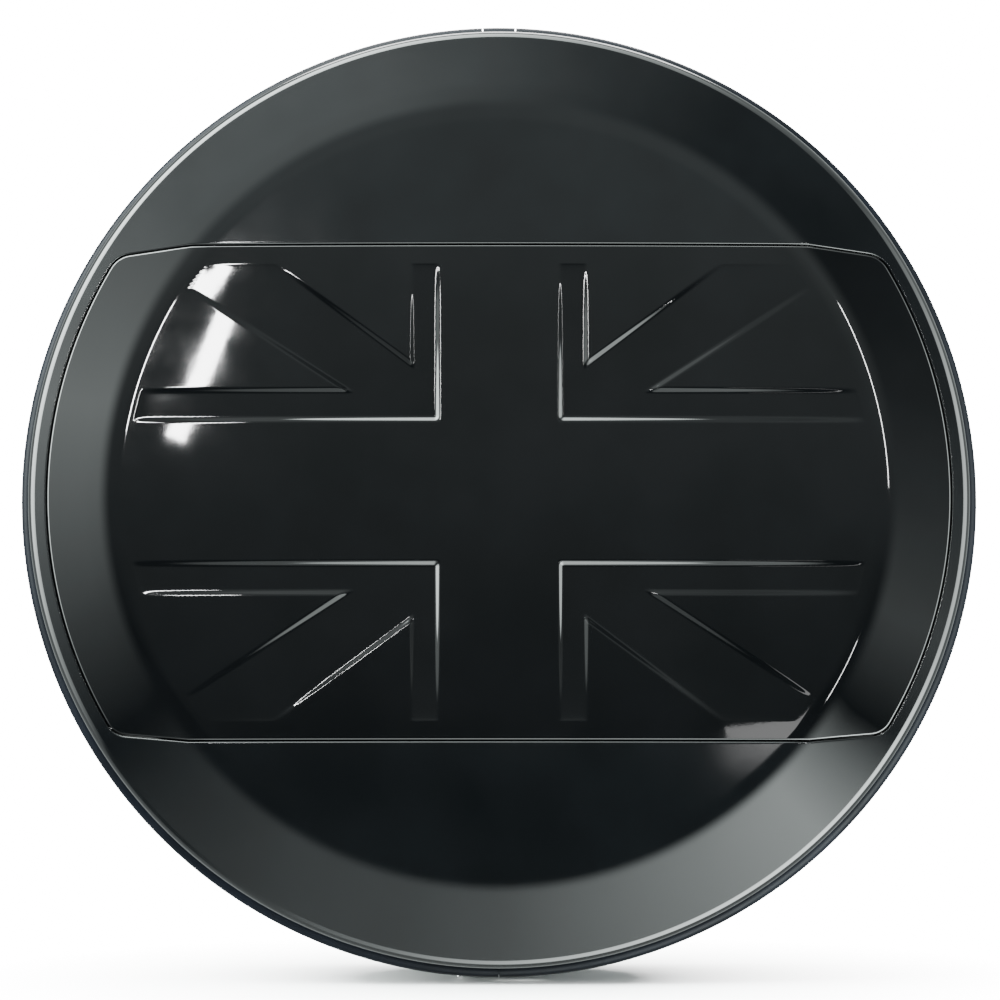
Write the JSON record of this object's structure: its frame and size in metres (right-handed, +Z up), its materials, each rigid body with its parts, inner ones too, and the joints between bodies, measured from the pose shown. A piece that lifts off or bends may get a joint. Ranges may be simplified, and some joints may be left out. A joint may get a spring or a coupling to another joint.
{
  "type": "spare tire cover",
  "caption": "Rigid round spare tyre cover: gloss face with a flag relief panel, two hinged half rings, rubber seal and key lock.",
  "frame": {"origin": "on the wheel axis, inside the face's skirt, where the front of the tyre's tread sits", "axes": "+X to the right seen from the front, +Y backwards along the wheel axis to the vehicle, +Z up"},
  "size_m": [0.855, 0.265, 0.8597],
  "materials": {
    "face_gloss": "high gloss black with a clear lacquer",
    "panel_gloss": "piano black gloss",
    "ring_satin": "satin blue-black moulded plastic",
    "seal_rubber": "matt black",
    "trim_rubber": "matt black",
    "pad_rubber": "matt black",
    "foam": "closed-cell foam",
    "hinge_steel": "zinc plated",
    "zinc_steel": "bright zinc",
    "spring_steel": "dark phosphate",
    "lock_cast": "black powder coat",
    "lock_chrome": "bright chrome",
    "cap_plastic": "matt black"
  },
  "bodies": {
    "cover": {"front_shell": "face_gloss", "flag_panel": "panel_gloss", "panel_tape": "foam", "panel_push_nuts": "zinc_steel", "face_foam_pads": "foam", "rim_seal": "seal_rubber", "bead_bridge": "ring_satin", "hinge_base": "hinge_steel", "hinge_base_rivets": "zinc_steel", "hinge_pin": "zinc_steel", "pin_clips": "spring_steel"},
    "left_half": {"ring_left": "ring_satin", "edge_trim_left": "trim_rubber", "tread_pads_left": "pad_rubber", "hinge_leaf_left": "hinge_steel", "leaf_rivets_left": "zinc_steel", "lock_housing": "lock_cast", "housing_rivets": "zinc_steel", "cap_pin": "zinc_steel"},
    "right_half": {"ring_right": "ring_satin", "edge_trim_right": "trim_rubber", "tread_pads_right": "pad_rubber", "hinge_leaf_right": "hinge_steel", "leaf_rivets_right": "zinc_steel", "lock_tongue": "hinge_steel", "tongue_rivets": "zinc_steel"},
    "lock": {"lock_barrel": "lock_chrome", "lock_cam": "hinge_steel", "cam_screw": "zinc_steel"},
    "cap": {"keyhole_cap": "cap_plastic"}
  },
  "joints": [
    {"name": "left_swing", "type": "hinge", "parent": "cover", "child": "left_half", "pos_m": [0, 0.1, 0.4266], "axis": [0, 1, 0], "range_deg": [0, 30]},
    {"name": "right_swing", "type": "hinge", "parent": "cover", "child": "right_half", "pos_m": [0, 0.1, 0.4266], "axis": [0, -1, 0], "range_deg": [0, 30]},
    {"name": "lock_turn", "type": "hinge", "parent": "left_half", "child": "lock", "pos_m": [-0.017, 0.035, -0.4206], "axis": [0, 0, -1], "range_deg": [0, 90]},
    {"name": "cap_flip", "type": "hinge", "parent": "left_half", "child": "cap", "pos_m": [-0.017, 0.045, -0.4226], "axis": [1, 0, 0], "range_deg": [0, 110]}
  ]
}
